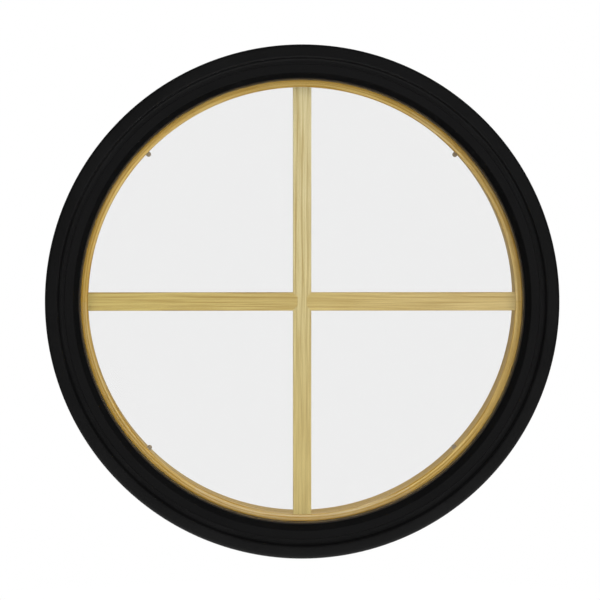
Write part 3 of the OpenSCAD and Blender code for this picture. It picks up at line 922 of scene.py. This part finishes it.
class WINDOW_OT_stage(WindowOperator, bpy.types.Operator):
    """Pale floor, soft studio light and the camera"""

    bl_idname = "window.stage"
    bl_label = "Stage"

    def execute(self, context):
        stage = context.scene.round_window.stage
        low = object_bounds()[0]
        self.floor(stage, low[2] - stage.floor_drop)
        self.world(context, stage)
        right = Vector(stage.side_place)
        left = Vector((-right.x, right.y, right.z))
        lamps = [
            self.lamp(context, "key_light", stage.key_power, stage.key_size, stage.key_place),
            self.lamp(context, "left_light", stage.left_power, stage.side_size, left),
            self.lamp(context, "right_light", stage.right_power, stage.side_size, right),
            self.lamp(context, "room_light", stage.room_power, stage.room_size, stage.room_place)]
        self.keep_off_glass(lamps)
        self.camera(context, stage, low[1])
        context.scene.view_settings.view_transform = "Standard"
        return {"FINISHED"}

    def floor(self, stage, height):
        """A plain pale floor that takes the shadow."""
        bm = bmesh.new()
        bmesh.ops.create_grid(bm, x_segments=1, y_segments=1, size=stage.floor_size / 2)
        bmesh.ops.translate(bm, verts=bm.verts, vec=(0, 0, height))
        floor = new_object("floor", bm)
        floor.data.materials.append(floor_material(stage))
        floor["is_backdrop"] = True

    def world(self, context, stage):
        """White to the camera and through glass, dimmer as light and in reflections."""
        world = bpy.data.worlds.new("studio")
        context.scene.world = world
        world.use_nodes = True
        tree = world.node_tree
        tree.nodes.clear()
        light = put(tree, "ShaderNodeLightPath").outputs
        white, soft, room = (
            put(tree, "ShaderNodeBackground", None, {"Color": WHITE, "Strength": strength}).outputs[0]
            for strength in (1.0, stage.ambient, stage.room))
        mirrored = math_node(tree, "MINIMUM", light["Glossy Depth"], 1.0)
        lit = math_node(tree, "MINIMUM", light["Diffuse Depth"], 1.0)
        bounced = math_node(tree, "MAXIMUM", mirrored, lit)
        through = math_node(tree, "SUBTRACT", light["Is Transmission Ray"], bounced)
        seen = math_node(tree, "MAXIMUM", light["Is Camera Ray"], through)
        unseen = put(tree, "ShaderNodeMixShader", None, {
            0: math_node(tree, "SUBTRACT", mirrored, lit), 1: soft, 2: room})
        mix = put(tree, "ShaderNodeMixShader", None, {0: seen, 1: unseen.outputs[0], 2: white})
        put(tree, "ShaderNodeOutputWorld", None, {"Surface": mix.outputs[0]})

    def lamp(self, context, name, power, size, middle):
        """A soft lamp aimed at the window, which mirrors don't show."""
        data = bpy.data.lights.new(name, "AREA")
        data.energy = power
        data.shape = "RECTANGLE"
        data.size, data.size_y = size
        lamp = bpy.data.objects.new(name, data)
        lamp.location = middle
        lamp.rotation_euler = (-Vector(middle)).to_track_quat("-Z", "Y").to_euler()
        lamp.visible_glossy = False
        context.scene.collection.objects.link(lamp)
        return lamp

    def keep_off_glass(self, lamps):
        """Lets the lamps light everything but the panes, so that no lamp shows in the glass."""
        panes = bpy.data.collections.new("lamps_keep_off")
        for name in PANES:
            panes.objects.link(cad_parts[name])
        for pane in panes.collection_objects:
            pane.light_linking.link_state = "EXCLUDE"
        for lamp in lamps:
            lamp.light_linking.receiver_collection = panes

    def camera(self, context, stage, rim_y):
        """The photo's viewpoint: in front of the window, slightly above and left of its middle."""
        data = bpy.data.cameras.new("camera")
        data.lens = stage.lens
        eye = Vector((stage.camera_side, rim_y - stage.camera_back, stage.camera_up))
        aim = Vector((stage.aim_side, rim_y, stage.aim_up))
        camera = bpy.data.objects.new("camera", data)
        camera.location = eye
        camera.rotation_euler = (aim - eye).to_track_quat("-Z", "Y").to_euler()
        context.scene.collection.objects.link(camera)
        context.scene.camera = camera


OPERATORS = (
    WINDOW_OT_casing, WINDOW_OT_bead, WINDOW_OT_glazing, WINDOW_OT_jamb, WINDOW_OT_grille,
    WINDOW_OT_fittings, WINDOW_OT_stage)


class WINDOW_PT_panel(bpy.types.Panel):
    """Lists the window's operators"""

    bl_idname = "WINDOW_PT_panel"
    bl_label = "Round Window"
    bl_space_type = "VIEW_3D"
    bl_region_type = "UI"
    bl_category = "Round Window"

    def draw(self, context):
        for operator in OPERATORS:
            self.layout.operator(operator.bl_idname)


CLASSES = (
    WINDOW_PG_sizes, WINDOW_PG_finish, WINDOW_PG_stage, WINDOW_PG_settings, *OPERATORS, WINDOW_PT_panel)


def register():
    """Adds the classes and the settings."""
    for item in CLASSES:
        bpy.utils.register_class(item)
    bpy.types.Scene.round_window = bpy.props.PointerProperty(type=WINDOW_PG_settings)


def unregister():
    """Takes the settings and classes away."""
    del bpy.types.Scene.round_window
    for item in reversed(CLASSES):
        bpy.utils.unregister_class(item)


def main():
    """Builds the window and its stage."""
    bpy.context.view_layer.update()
    register()
    bpy.ops.window.casing()
    bpy.ops.window.bead()
    bpy.ops.window.glazing()
    bpy.ops.window.jamb()
    bpy.ops.window.grille()
    bpy.ops.window.fittings()
    bpy.ops.window.stage()


if __name__ == "__main__":
    main()
